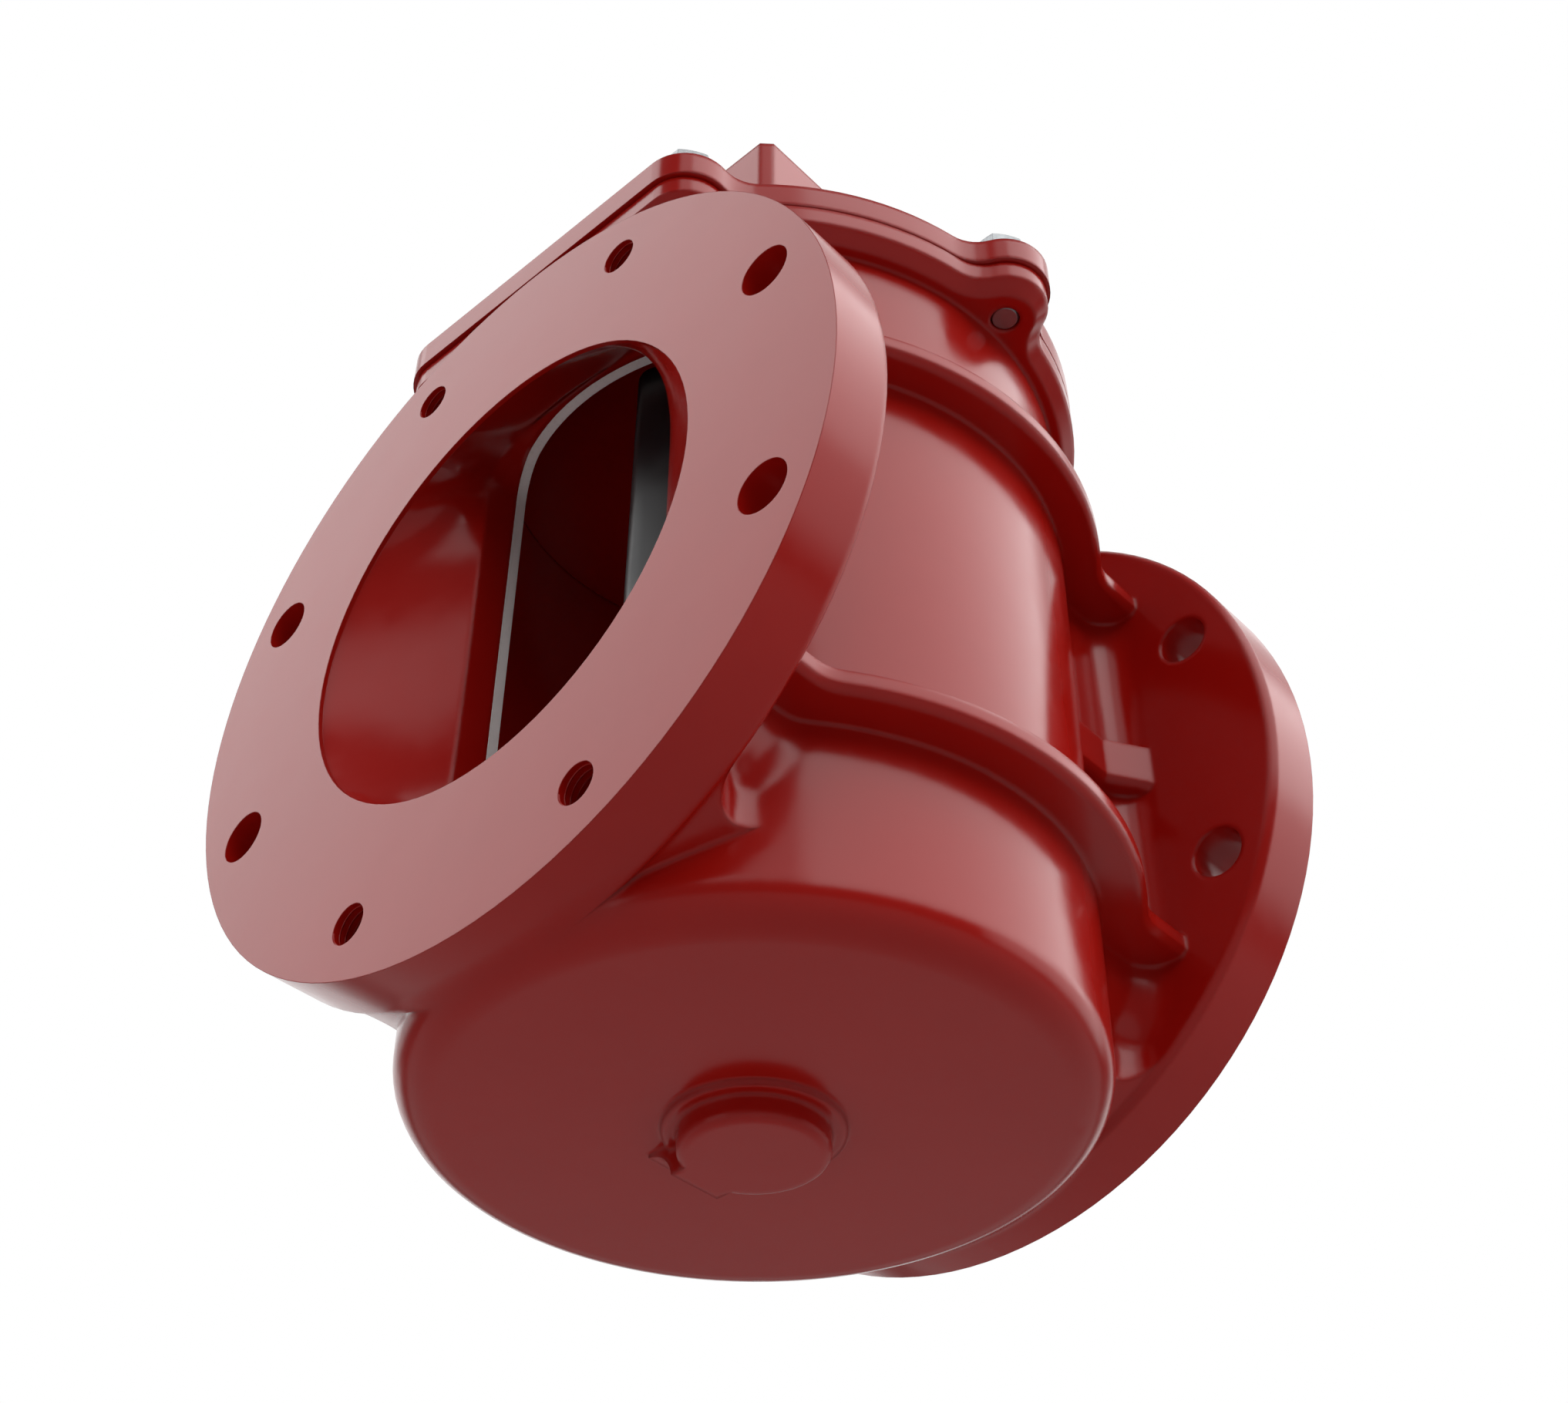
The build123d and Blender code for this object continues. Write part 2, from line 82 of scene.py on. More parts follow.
# Steps of the meshes
RING_STEPS = 48            # round a screw or a nut
STUD_STEPS = 36            # round a stud
THREAD_ROWS = 6            # along one pitch of an outside thread
TAPPED_STEPS = 28          # round one turn of a tapped thread
RIDGE_SIDES = 4            # of a tapped thread's ridge
BACK_STEPS = 12            # on the back of the facing
EDGE_STEPS = 4             # round the facing's moulded edge
FACE_STEPS = 16            # on the front of the facing
CORNER_STEPS = 8           # round each corner of its outline
SIDE_STEPS = 12            # along each side of its outline
FLOOR_STEPS = 96

# Shapes and places of the fasteners
THREAD_FLAT = 0.12         # share of the pitch that is flat at the root, and again at the crest
CUT_CORNER = 0.49          # radius of a hexagon's flat top, as a share of the width across flats
HEX_CONE = math.radians(30)
FIRST_SCREW = math.radians(30)
FIRST_STUD = math.radians(90)
STUD_COUNT = 2
SHARP = math.radians(32)   # from this angle on a corner is shaded as sharp

# Soft ends of the light panels, in degrees sideways and as sines up and down
PANEL_SOFTNESS = 4.0
LOW_SOFTNESS = 0.08
HIGH_SOFTNESS = 0.04
POLE_GUARD = 0.0001        # keeps the root over 0 straight up and straight down

# The camera: its axes, fitted to the photo, its sensor's width, and how near and far it sees in metres
CAMERA_RIGHT = Vector((0.67345, -0.73923, 0.0))
CAMERA_UP = Vector((-0.49064, -0.44704, 0.74795))
CAMERA_AHEAD = Vector((0.55293, 0.50368, 0.66376))
SENSOR_MM = 36.0
CLIP_START = 0.01
CLIP_END = 50.0


def node_points(name):
    """A CAD node's vertices as an array of points."""
    data = frame["nodes"][name].data
    flat = np.zeros(3 * len(data.vertices), np.float32)
    data.vertices.foreach_get("co", flat)
    return flat.reshape(-1, 3)


def pitch_radius(name):
    """Distance from the stem to the fasteners of a node, read at their lower ends."""
    points = node_points(name)
    low = points[points[:, 2] < points[:, 2].min() + FOOT]
    reach = np.hypot(low[:, 0] - STEM.x, low[:, 1] - STEM.y)
    return float(reach.min() + reach.max()) / 2


SCREW_PITCH_R = pitch_radius("bonnet_bolts")
STUD_PITCH_R = pitch_radius("gland_studs")
SCREW_LOW, SCREW_HIGH = (corner.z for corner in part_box("bonnet_bolts"))
STUD_LOW, STUD_HIGH = (corner.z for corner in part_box("gland_studs"))
NUT_LOW, NUT_HIGH = (corner.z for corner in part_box("gland_nuts"))
BONNET_TOP = MOUNTS["actuator_pad_bolts"]["pos_m"][2] - PAD_HEIGHT


# Properties

def length(name, default, text):
    """A property in metres."""
    return FloatProperty(name=name, description=text, default=default, subtype="DISTANCE", unit="LENGTH")


def rotation(name, degrees, text):
    """A property that holds an angle."""
    return FloatProperty(name=name, description=text, default=math.radians(degrees), unit="ROTATION")


def share(name, default, text, high=1.0):
    """A property from 0 up to a limit."""
    return FloatProperty(name=name, description=text, default=default, min=0.0, max=high)


def colour(name, default, text):
    """A property that holds a colour."""
    return FloatVectorProperty(name=name, description=text, default=default, subtype="COLOR", size=3)


class ValvePaint(bpy.types.PropertyGroup):
    """The enamel on the castings."""
    base: colour("Enamel", (0.360, 0.0054, 0.0028), "Colour of the enamel")
    # This lighter colour is also the painted highlight along the casting's corners
    thin: colour("Thin enamel", (0.400, 0.0088, 0.0050), "Colour where the enamel lies thinner")
    gloss: share("Roughness", 0.17, "Roughness of the enamel")
    shine: share("Shine", 0.33, "Strength of the reflections seen head on")
    edge: length("Edge rounding", 0.0035, "Radius to which the paint softens the casting's corners")
    machined_edge: length("Machined edge", 0.0005, "Radius at the flange faces, which are machined")
    ripple: length("Ripple", 0.00025, "Height of the casting's waves under the paint")
    peel: length("Orange peel", 0.000006, "Height of the paint's fine texture")


class ValveScrews(bpy.types.PropertyGroup):
    """The cap screws that hold the bonnet."""
    count: IntProperty(name="Count", description="Number of screws", default=6, min=1)
    radius: length("Radius", 0.00635, "Major radius of the thread")
    flats: length("Across flats", 0.022225, "Width of the hexagon")
    washer: length("Washer radius", 0.0135, "Outer radius of the washer face")
    washer_t: length("Washer thickness", 0.002, "Thickness of the washer face")
    pitch: length("Thread pitch", 0.001954, "Advance of the thread in one turn")
    depth: length("Thread depth", 0.0011, "Depth of the thread")
    threaded: length("Threaded length", 0.0155, "Length of thread at the end of the screw")
    crown: length("Crown", 0.002, "Height of the head over the plain solid's head")
    turn: rotation("Turn", 26, "Turn of the hexagons")


class ValveGland(bpy.types.PropertyGroup):
    """The studs and nuts that pull the gland down."""
    radius: length("Stud radius", 0.00635, "Major radius of the studs")
    flats: length("Across flats", 0.01905, "Width of the nuts")
    pitch: length("Thread pitch", 0.001954, "Advance of the thread in one turn")
    depth: length("Thread depth", 0.0011, "Depth of the thread")
    turn: rotation("Turn", 11, "Turn of the nuts")


class ValveThreads(bpy.types.PropertyGroup):
    """The threads in the tapped holes."""
    flange_pitch: length("Flange thread", 0.00254, "Thread pitch in the flanges")
    pad_pitch: length("Pad thread", 0.002, "Thread pitch in the actuator pad")
    ridge: length("Ridge", 0.0004, "Height of the thread's ridge")
    flange_depth: length("Flange depth", 0.0235, "Threaded depth in the flanges")
    pad_depth: length("Pad depth", 0.0195, "Threaded depth in the pad")


class ValveFacing(bpy.types.PropertyGroup):
    """The rubber on the plug."""
    offset: length("Eccentricity", 0.006, "Distance from the stem to the facing's own axis")
    rest: rotation("Rest", 45, "Angle of the plug at rest, from closed")
    corner: length("Corner", 0.004, "Corner radius of the facing's outline")
    edge: length("Edge", 0.0025, "Rounding of the moulded edge")


class ValveStage(bpy.types.PropertyGroup):
    """The floor, the light and the camera."""
    floor_z: length("Floor height", -1.2, "Height of the floor under the pipe axis")
    floor: colour("Floor", (0.32, 0.32, 0.32), "Colour of the floor")
    room: share("Room", 0.13, "Brightness of the room between the light panels", 10.0)
    panel: share("Panels", 2.75, "Brightness of the light panels", 10.0)
    fill: share("Fill", 0.85, "Brightness of the wide panel on the far side", 10.0)
    back: share("Back", 1.15, "Brightness of the panel behind the valve", 10.0)
    eye: FloatVectorProperty(
        name="Camera", description="Place of the camera", subtype="XYZ", size=3,
        default=(-0.35352, -0.46954, -0.58130),
    )
    lens: FloatProperty(name="Lens", description="Focal length in mm on a 36 mm sensor", default=50.0)


# Node trees

def set_inputs(tree, node, values):
    """Sets inputs of a node, each to a value or to another node's socket."""
    for key, value in values.items():
        if isinstance(value, bpy.types.NodeSocket):
            tree.links.new(value, node.inputs[key])
        else:
            node.inputs[key].default_value = value


def add(tree, kind, inputs=None, **settings):
    """A new node with its settings and inputs."""
    made = tree.nodes.new(kind)
    for key, value in settings.items():
        setattr(made, key, value)
    set_inputs(tree, made, inputs or {})
    return made


def maths(tree, operation, *values):
    """A value worked out from numbers or sockets."""
    made = add(tree, "ShaderNodeMath", dict(enumerate(values)), operation=operation)
    return made.outputs[0]


def remap(tree, value, low, high, to_low, to_high):
    """A value taken from one range to another."""
    made = add(tree, "ShaderNodeMapRange", {0: value, 1: low, 2: high, 3: to_low, 4: to_high})
    return made.outputs[0]


def rgba(values):
    """A colour made fully opaque."""
    return (*values, 1.0)


def mix_colour(tree, factor, one, other):
    """One colour where the factor is 0, the other where it is 1."""
    made = add(tree, "ShaderNodeMix", {0: factor, 6: one, 7: other}, data_type="RGBA")
    return made.outputs[2]


def noise(tree, where, scale, detail=2.0, rough=0.5):
    """Soft random spots between 0 and 1."""
    inputs = {"Vector": where, "Scale": scale, "Detail": detail, "Roughness": rough}
    return add(tree, "ShaderNodeTexNoise", inputs).outputs["Fac"]


def bevel(tree, radius, samples=4):
    """A normal that rounds the corners by a radius."""
    return add(tree, "ShaderNodeBevel", {"Radius": radius}, samples=samples).outputs[0]


def bump(tree, height, distance, strength, normal=None):
    """A normal that follows a height."""
    inputs = {"Height": height, "Distance": distance, "Strength": strength}
    if normal is not None:
        inputs["Normal"] = normal
    return add(tree, "ShaderNodeBump", inputs).outputs[0]


def new_material(name):
    """An empty material with its tree, the piece's own coordinates and a Principled shader."""
    made = bpy.data.materials.new(name)
    made.use_nodes = True
    tree = made.node_tree
    tree.nodes.clear()
    where = tree.nodes.new("ShaderNodeTexCoord").outputs["Object"]
    shader = tree.nodes.new("ShaderNodeBsdfPrincipled")
    end = tree.nodes.new("ShaderNodeOutputMaterial")
    tree.links.new(shader.outputs[0], end.inputs[0])
    return made, tree, where, shader


def axis_parts(tree, where):
    """The X, Y and Z of a vector."""
    return add(tree, "ShaderNodeSeparateXYZ", {0: where}).outputs


# Finishes

def enamel(props):
    """Glossy red enamel over a sand casting, with soft corners and crisp machined faces; the corners are painted
    lighter, partly as paint worn thin and partly as a painted highlight.
    """
    made, tree, where, shader = new_material("red_enamel")
    x = axis_parts(tree, where)[0]
    from_end = maths(tree, "SUBTRACT", x, MOUNTS["outlet_flange_face"]["pos_m"][0])
    to_face = maths(tree, "MINIMUM", maths(tree, "ABSOLUTE", x), maths(tree, "ABSOLUTE", from_end))
    soft = remap(tree, to_face, MACHINED_DEPTH, CAST_DEPTH, props.machined_edge, props.edge)
    rounded = bevel(tree, soft, samples=6)
    facing = add(tree, "ShaderNodeNewGeometry").outputs["Normal"]
    bend = add(tree, "ShaderNodeVectorMath", {0: rounded, 1: facing}, operation="DOT_PRODUCT")
    corner = remap(tree, bend.outputs["Value"], 0.995, 0.75, 0.0, 1.0)
    broad = noise(tree, where, scale=9.0, detail=3.0)
    fine = noise(tree, where, scale=70.0, detail=3.0, rough=0.6)
    tone = maths(tree, "ADD", maths(tree, "MULTIPLY", broad, 0.7), maths(tree, "MULTIPLY", fine, 0.3))
    tone = remap(tree, tone, 0.35, 0.65, 0.0, 0.5)
    # Corners are painted lighter: partly paint worn thin on the edges, partly a painted highlight along them
    worn_and_highlit = maths(tree, "MULTIPLY", corner, remap(tree, fine, 0.4, 0.6, 0.2, 0.8))
    body = mix_colour(tree, maths(tree, "MAXIMUM", tone, worn_and_highlit), rgba(props.base), rgba(props.thin))
    wave = noise(tree, where, scale=26.0, detail=2.0)
    waved = bump(tree, wave, props.ripple, strength=0.6, normal=rounded)
    skin = noise(tree, where, scale=320.0, detail=1.0)
    set_inputs(tree, shader, {
        "Base Color": body,
        "Roughness": remap(tree, fine, 0.3, 0.7, props.gloss - 0.02, props.gloss + 0.03),
        "Normal": bump(tree, skin, props.peel, strength=0.5, normal=waved),
        "Specular IOR Level": props.shine,
    })
    return made


def metal(name, tint, rough, grain, scuff, stretch=(1.0, 1.0, 1.0), scale=900.0, metallic=1.0):
    """A bare or plated metal with fine tool marks along one direction and a faint cloudiness."""
    made, tree, where, shader = new_material(name)
    along = add(tree, "ShaderNodeMapping", {"Vector": where, "Scale": stretch}).outputs[0]
    marks = noise(tree, along, scale=scale, detail=2.0, rough=0.6)
    cloud = noise(tree, where, scale=60.0, detail=3.0, rough=0.6)
    dark = tuple(0.62 * value for value in tint)
    body = mix_colour(tree, remap(tree, cloud, 0.42, 0.66, 0.0, scuff), rgba(tint), rgba(dark))
    set_inputs(tree, shader, {
        "Base Color": body,
        "Metallic": metallic,
        "Roughness": remap(tree, marks, 0.3, 0.7, rough - 0.08, rough + 0.10),
        "Normal": bump(tree, marks, grain, strength=0.7, normal=bevel(tree, METAL_BEVEL)),
    })
    return made


def rubber(name, tint, rough, grain, flecks=0.0):
    """Moulded rubber, nearly black, with a fine skin, a faint bloom and flecks if they are asked for."""
    made, tree, where, shader = new_material(name)
    bloom = noise(tree, where, scale=34.0, detail=3.0, rough=0.6)
    skin = noise(tree, where, scale=1400.0, detail=2.0)
    pale = tuple(value * 2.2 + 0.004 for value in tint)
    body = mix_colour(tree, remap(tree, bloom, 0.4, 0.7, 0.0, 0.45), rgba(tint), rgba(pale))
    if flecks:
        spots = add(tree, "ShaderNodeTexVoronoi", {"Vector": where, "Scale": 900.0}).outputs["Distance"]
        body = mix_colour(tree, remap(tree, spots, 0.10, 0.04, 0.0, flecks), body, rgba((0.30, 0.24, 0.16)))
    set_inputs(tree, shader, {
        "Base Color": body,
        "Roughness": remap(tree, bloom, 0.3, 0.7, rough - 0.05, rough + 0.08),
        "Normal": bump(tree, skin, grain, strength=0.6),
        "Specular IOR Level": 0.5,
    })
    return made


def coated_iron(name, tint, rough, ripple):
    """Iron under a thin dark coating, with the sand's texture showing through."""
    made, tree, where, shader = new_material(name)
    sand = noise(tree, where, scale=420.0, detail=4.0, rough=0.65)
    cloud = noise(tree, where, scale=22.0, detail=3.0)
    pale = tuple(1.7 * value for value in tint)
    body = mix_colour(tree, remap(tree, cloud, 0.4, 0.65, 0.0, 0.6), rgba(tint), rgba(pale))
    set_inputs(tree, shader, {
        "Base Color": body,
        "Metallic": 0.15,
        "Roughness": remap(tree, sand, 0.3, 0.7, rough - 0.08, rough + 0.08),
        "Normal": bump(tree, sand, ripple, strength=0.6, normal=bevel(tree, IRON_BEVEL)),
    })
    return made


def fibre(name, tint, thread):
    """Pressed fibre or a filled polymer with short strands in it."""
    made, tree, where, shader = new_material(name)
    cells = {"Vector": where, "Scale": 700.0, "Randomness": 1.0}
    strands = add(tree, "ShaderNodeTexVoronoi", cells, distance="CHEBYCHEV")
    mottle = noise(tree, where, scale=240.0, detail=4.0, rough=0.7)
    pale = tuple(min(1.0, value * 1.25 + 0.02) for value in tint)
    body = mix_colour(tree, remap(tree, mottle, 0.35, 0.65, 0.0, 1.0), rgba(tint), rgba(pale))
    set_inputs(tree, shader, {
        "Base Color": body,
        "Roughness": remap(tree, mottle, 0.3, 0.7, 0.55, 0.72),
        "Normal": bump(tree, strands.outputs["Distance"], thread, strength=0.5),
    })
    return made


# Mesh helpers

def circle_points(count, radius, z):
    """A level ring; radius and z may be functions of the angle."""
    ring = []
    for k in range(count):
        angle = 2 * math.pi * k / count
        reach = radius(angle) if callable(radius) else radius
        height = z(angle) if callable(z) else z
        ring.append(Vector((reach * math.cos(angle), reach * math.sin(angle), height)))
    return ring


def skin_rings(rings, loop=False):
    """A closed mesh through rings with the same number of points, capped or joined end to end."""
    mesh = bmesh.new()
    rows = [[mesh.verts.new(point) for point in ring] for ring in rings]
    count = len(rows[0])
    pairs = list(zip(rows, rows[1:])) + ([(rows[-1], rows[0])] if loop else [])
    for low, high in pairs:
        for k in range(count):
            after = (k + 1) % count
            mesh.faces.new((low[k], low[after], high[after], high[k]))
    if not loop:
        mesh.faces.new(list(reversed(rows[0])))
        mesh.faces.new(rows[-1])
    return mesh


def to_object(mesh, name, material):
    """Ends a bmesh as an object with soft faces and sharp corners."""
    bmesh.ops.recalc_face_normals(mesh, faces=mesh.faces)
    for face in mesh.faces:
        face.smooth = True
    for edge in mesh.edges:
        if len(edge.link_faces) == 2 and edge.calc_face_angle() > SHARP:
            edge.smooth = False
    data = bpy.data.meshes.new(name)
    mesh.to_mesh(data)
    mesh.free()
    data.materials.append(material)
    made = bpy.data.objects.new(name, data)
    bpy.context.scene.collection.objects.link(made)
    return made


def thread_rings(count, radius, pitch, depth, low, high, chamfer_low, chamfer_high):
    """Rings of an outside thread between two heights, with bevelled ends where asked."""
    steps = max(2, round((high - low) / pitch * THREAD_ROWS))
    rings = []
    for row in range(steps + 1):
        z = low + (high - low) * row / steps
        limit = radius
        if chamfer_low:
            limit = min(limit, radius - chamfer_low + z - low)
        if chamfer_high:
            limit = min(limit, radius - chamfer_high + high - z)

        def ridge(angle, z=z, limit=limit):
            phase = (z / pitch - angle / (2 * math.pi)) % 1.0
            rise = min(1.0, max(0.0, (abs(2 * phase - 1) - THREAD_FLAT) / (1 - 2 * THREAD_FLAT)))
            return min(limit, radius - depth * (1 - rise))

        rings.append(circle_points(count, ridge, z))
    return rings


def hexagon(flats):
    """Radius of a hexagon as a function of the angle, with a corner at angle 0."""
    def radius(angle):
        part = (angle % (math.pi / 3)) - math.pi / 6
        return flats / 2 / math.cos(part)
    return radius


def hex_rings(flats, low, high):
    """Rings of a hexagon whose corners are cut by a cone at the top and a little at the foot."""
    outline = hexagon(flats)
    crown = CUT_CORNER * flats
    slope = math.tan(HEX_CONE)
    foot = circle_points(RING_STEPS, lambda angle: min(outline(angle), crown), low)
    wall_low = circle_points(RING_STEPS, outline, low + UNDER_CUT)
    wall_high = circle_points(RING_STEPS, outline, lambda angle: high - (outline(angle) - crown) * slope)
    top = circle_points(RING_STEPS, crown, high)
    return [foot, wall_low, wall_high, top]


# Geometry Nodes

def new_tree(name, sockets):
    """A Geometry Nodes tree with named inputs; returns the tree, its input node and its end node."""
    tree = bpy.data.node_groups.new(name, "GeometryNodeTree")
    tree.interface.new_socket("Geometry", in_out="INPUT", socket_type="NodeSocketGeometry")
    for label, kind, default in sockets:
        socket = tree.interface.new_socket(label, in_out="INPUT", socket_type="NodeSocket" + kind)
        if default is not None:
            socket.default_value = default
    tree.interface.new_socket("Geometry", in_out="OUTPUT", socket_type="NodeSocketGeometry")
    return tree, tree.nodes.new("NodeGroupInput"), tree.nodes.new("NodeGroupOutput")


def end_tree(tree, begin, end, points, piece):
    """Puts a piece on each point, makes the copies real and gives them the material."""
    copies = add(tree, "GeometryNodeInstanceOnPoints", {"Points": points, "Instance": piece})
    real = add(tree, "GeometryNodeRealizeInstances", {0: copies.outputs[0]})
    finish = {"Geometry": real.outputs[0], "Material": begin.outputs["Material"]}
    painted = add(tree, "GeometryNodeSetMaterial", finish)
    tree.links.new(painted.outputs[0], end.inputs[0])


def ring_tree():
    """Copies the object's mesh round the stem."""
    tree, begin, end = new_tree("ring_of_fasteners", (
        ("Count", "Int", 6), ("Pitch radius", "Float", 0.1), ("First angle", "Float", 0.0),
        ("Centre", "Vector", None), ("Material", "Material", None),
    ))
    given = begin.outputs
    number = add(tree, "GeometryNodeInputIndex").outputs[0]
    step = maths(tree, "DIVIDE", math.tau, given["Count"])
    angle = maths(tree, "ADD", given["First angle"], maths(tree, "MULTIPLY", number, step))
    spot = add(tree, "ShaderNodeCombineXYZ", {
        "X": maths(tree, "MULTIPLY", given["Pitch radius"], maths(tree, "COSINE", angle)),
        "Y": maths(tree, "MULTIPLY", given["Pitch radius"], maths(tree, "SINE", angle)),
    })
    spots = add(tree, "GeometryNodePoints", {"Count": given["Count"], "Position": spot.outputs[0]})
    move = {"Geometry": spots.outputs[0], "Translation": given["Centre"]}
    placed = add(tree, "GeometryNodeTransform", move)
    end_tree(tree, begin, end, placed.outputs[0], given["Geometry"])
    return tree


def thread_tree():
    """Winds a thread's ridge down from each point of the object."""
    tree, begin, end = new_tree("tapped_threads", (
        ("Hole radius", "Float", 0.008), ("Depth", "Float", 0.02), ("Pitch", "Float", 0.002),
        ("Ridge", "Float", 0.0005), ("Material", "Material", None),
    ))
    given = begin.outputs
    turns = maths(tree, "DIVIDE", given["Depth"], given["Pitch"])
    helix = add(tree, "GeometryNodeCurveSpiral", {
        "Resolution": TAPPED_STEPS, "Rotations": turns, "Start Radius": given["Hole radius"],
        "End Radius": given["Hole radius"], "Height": given["Depth"],
    })
    section = {"Resolution": RIDGE_SIDES, "Radius": given["Ridge"]}
    profile = add(tree, "GeometryNodeCurvePrimitiveCircle", section)
    ridge = add(tree, "GeometryNodeCurveToMesh", {
        "Curve": helix.outputs[0], "Profile Curve": profile.outputs[0], "Fill Caps": True,
    })
    end_tree(tree, begin, end, given["Geometry"], ridge.outputs[0])
    return tree


def grow(source, tree, values):
    """Runs a tree on an object, keeps the result as a plain mesh, and removes the modifier."""
    modifier = source.modifiers.new("grow", "NODES")
    modifier.node_group = tree
    ids = {item.name: item.identifier for item in tree.interface.items_tree if item.in_out == "INPUT"}
    for label, value in values.items():
        modifier[ids[label]] = value
    bpy.context.view_layer.update()
    graph = bpy.context.evaluated_depsgraph_get()
    data = bpy.data.meshes.new_from_object(source.evaluated_get(graph))
    source.modifiers.remove(modifier)
    if not data.polygons:
        raise RuntimeError(f"{source.name} came out empty")
    old = source.data
    source.data = data
    bpy.data.meshes.remove(old)
    data.name = source.name
    return source


# Pieces

def paint_node(name, material):
    """Gives a CAD node one material."""
    slots = frame["nodes"][name].data.materials
    slots.clear()
    slots.append(material)


class VALVE_OT_castings(bpy.types.Operator):
    """Paints the body and the bonnet"""
    bl_idname = "valve.castings"
    bl_label = "Castings"

    def execute(self, context):
        red = enamel(context.scene.valve_paint)
        for name in ("valve_body", "bonnet"):
            paint_node(name, red)
        return {"FINISHED"}


class VALVE_OT_seat(bpy.types.Operator):
    """Finishes the nickel land round the port"""
    bl_idname = "valve.seat"
    bl_label = "Seat"

    def execute(self, context):
        nickel = metal(
            "ground_nickel", (0.95, 0.94, 0.92), rough=0.30, grain=0.000002, scuff=0.15,
            stretch=(1.0, 1.0, 0.06), scale=400.0, metallic=0.0,
        )
        paint_node("seat_overlay", nickel)
        return {"FINISHED"}


class VALVE_OT_inner_parts(bpy.types.Operator):
    """Finishes the plug, the bearings, the seals and the packing"""
    bl_idname = "valve.inner_parts"
    bl_label = "Inner parts"

    def execute(self, context):
        turned = {"grain": 0.00002, "scuff": 0.3, "stretch": (1.0, 1.0, 8.0), "scale": 500.0}
        steel = metal("turned_steel", (0.56, 0.55, 0.53), rough=0.32, **turned)
        seal = rubber("seal_rubber", (0.018, 0.018, 0.019), rough=0.48, grain=0.00002)
        vee = rubber("packing_rubber", (0.035, 0.030, 0.026), rough=0.62, grain=0.00005, flecks=0.5)
        brass = metal("turned_brass", (0.72, 0.52, 0.22), rough=0.28, **turned)
        polymer = fibre("washer_polymer", (0.80, 0.80, 0.76), thread=0.00002)
        finishes = {
            "plug_core": coated_iron("plug_coating", (0.014, 0.014, 0.015), rough=0.50, ripple=0.00012),
            "gland_follower": coated_iron("gland_iron", (0.10, 0.10, 0.105), rough=0.52, ripple=0.00012),
            "bonnet_gasket": fibre("gasket_fibre", (0.13, 0.14, 0.13), thread=0.00004),
            "packing_base_ring": brass,
            "packing_top_ring": brass,
        }
        for side in ("lower", "upper"):
            finishes[f"{side}_bearing"] = steel
            finishes[f"{side}_thrust_washer"] = polymer
            finishes[f"{side}_grit_seal"] = seal
        for name in frame["nodes"]:
            if name.startswith("packing_vee"):
                finishes[name] = vee
        for name, material in finishes.items():
            paint_node(name, material)
        return {"FINISHED"}


def facing_point(y, z, radius, offset, turn):
    """A point of the facing, from its place on the closed plug."""
    closed = Vector((-math.sqrt(radius * radius - y * y), y - offset, z))
    return Matrix.Rotation(turn, 3, "Z") @ closed + STEM


def rounded_outline(half_y, half_z, corner):
    """Points of a rounded rectangle, the same number whatever its size."""
    corner = max(0.0, min(corner, half_y, half_z))
    arcs = []
    for quarter, (side_y, side_z) in enumerate(((1, 1), (-1, 1), (-1, -1), (1, -1))):
        angles = [math.pi / 2 * (quarter + k / CORNER_STEPS) for k in range(CORNER_STEPS + 1)]
        arcs.append([(
            side_y * (half_y - corner) + corner * math.cos(angle),
            side_z * (half_z - corner) + corner * math.sin(angle),
        ) for angle in angles])
    points = []
    for arc, after in zip(arcs, arcs[1:] + arcs[:1]):
        (y, z), (next_y, next_z) = arc[-1], after[0]
        points += arc
        for k in range(1, SIDE_STEPS):
            points.append((y + (next_y - y) * k / SIDE_STEPS, z + (next_z - z) * k / SIDE_STEPS))
    return points


class VALVE_OT_facing(bpy.types.Operator):
    """Moulds the rubber facing on the plug"""
    bl_idname = "valve.facing"
    bl_label = "Facing"

    def execute(self, context):
        props = context.scene.valve_facing
        back = Matrix.Rotation(-props.rest, 3, "Z")
        closed = np.array([back @ (Vector(point) - STEM) for point in node_points("plug_facing")])
        half_y = float(closed[:, 1].max() - closed[:, 1].min()) / 2
        half_z = float(closed[:, 2].max())
        reach = np.hypot(closed[:, 0], closed[:, 1] + props.offset)
        outer, inner = float(reach.max()), float(reach.min())
        edge = props.edge
        # The profile runs from the middle of the back over the moulded edge to the middle of the front.
        # Each place in it holds the radius from the facing's axis and the distance inside the outline.
        profile = [(inner, half_y * k / BACK_STEPS) for k in range(BACK_STEPS, -1, -1)]
        profile.append((inner + (outer - edge - inner) / 2, 0.0))
        for k in range(EDGE_STEPS + 1):
            angle = math.pi / 2 * k / EDGE_STEPS
            profile.append((outer - edge + edge * math.sin(angle), edge * (1 - math.cos(angle))))
        start = profile[-1][1]
        rest = half_y - start
        profile += [(outer, start + rest * k / FACE_STEPS) for k in range(1, FACE_STEPS + 1)]
        rings = []
        for radius, inset in profile:
            outline = rounded_outline(half_y - inset, half_z - inset, props.corner - inset)
            rings.append([facing_point(y, z, radius, props.offset, props.rest) for y, z in outline])
        mesh = skin_rings(rings)
        bmesh.ops.remove_doubles(mesh, verts=mesh.verts, dist=1e-6)
        bmesh.ops.dissolve_degenerate(mesh, edges=mesh.edges, dist=1e-7)
        black = rubber("facing_rubber", (0.007, 0.007, 0.008), rough=0.34, grain=0.000008)
        made = to_object(mesh, "rubber_facing", black)
        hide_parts("plug_facing")
        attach(made, "plug")
        return {"FINISHED"}


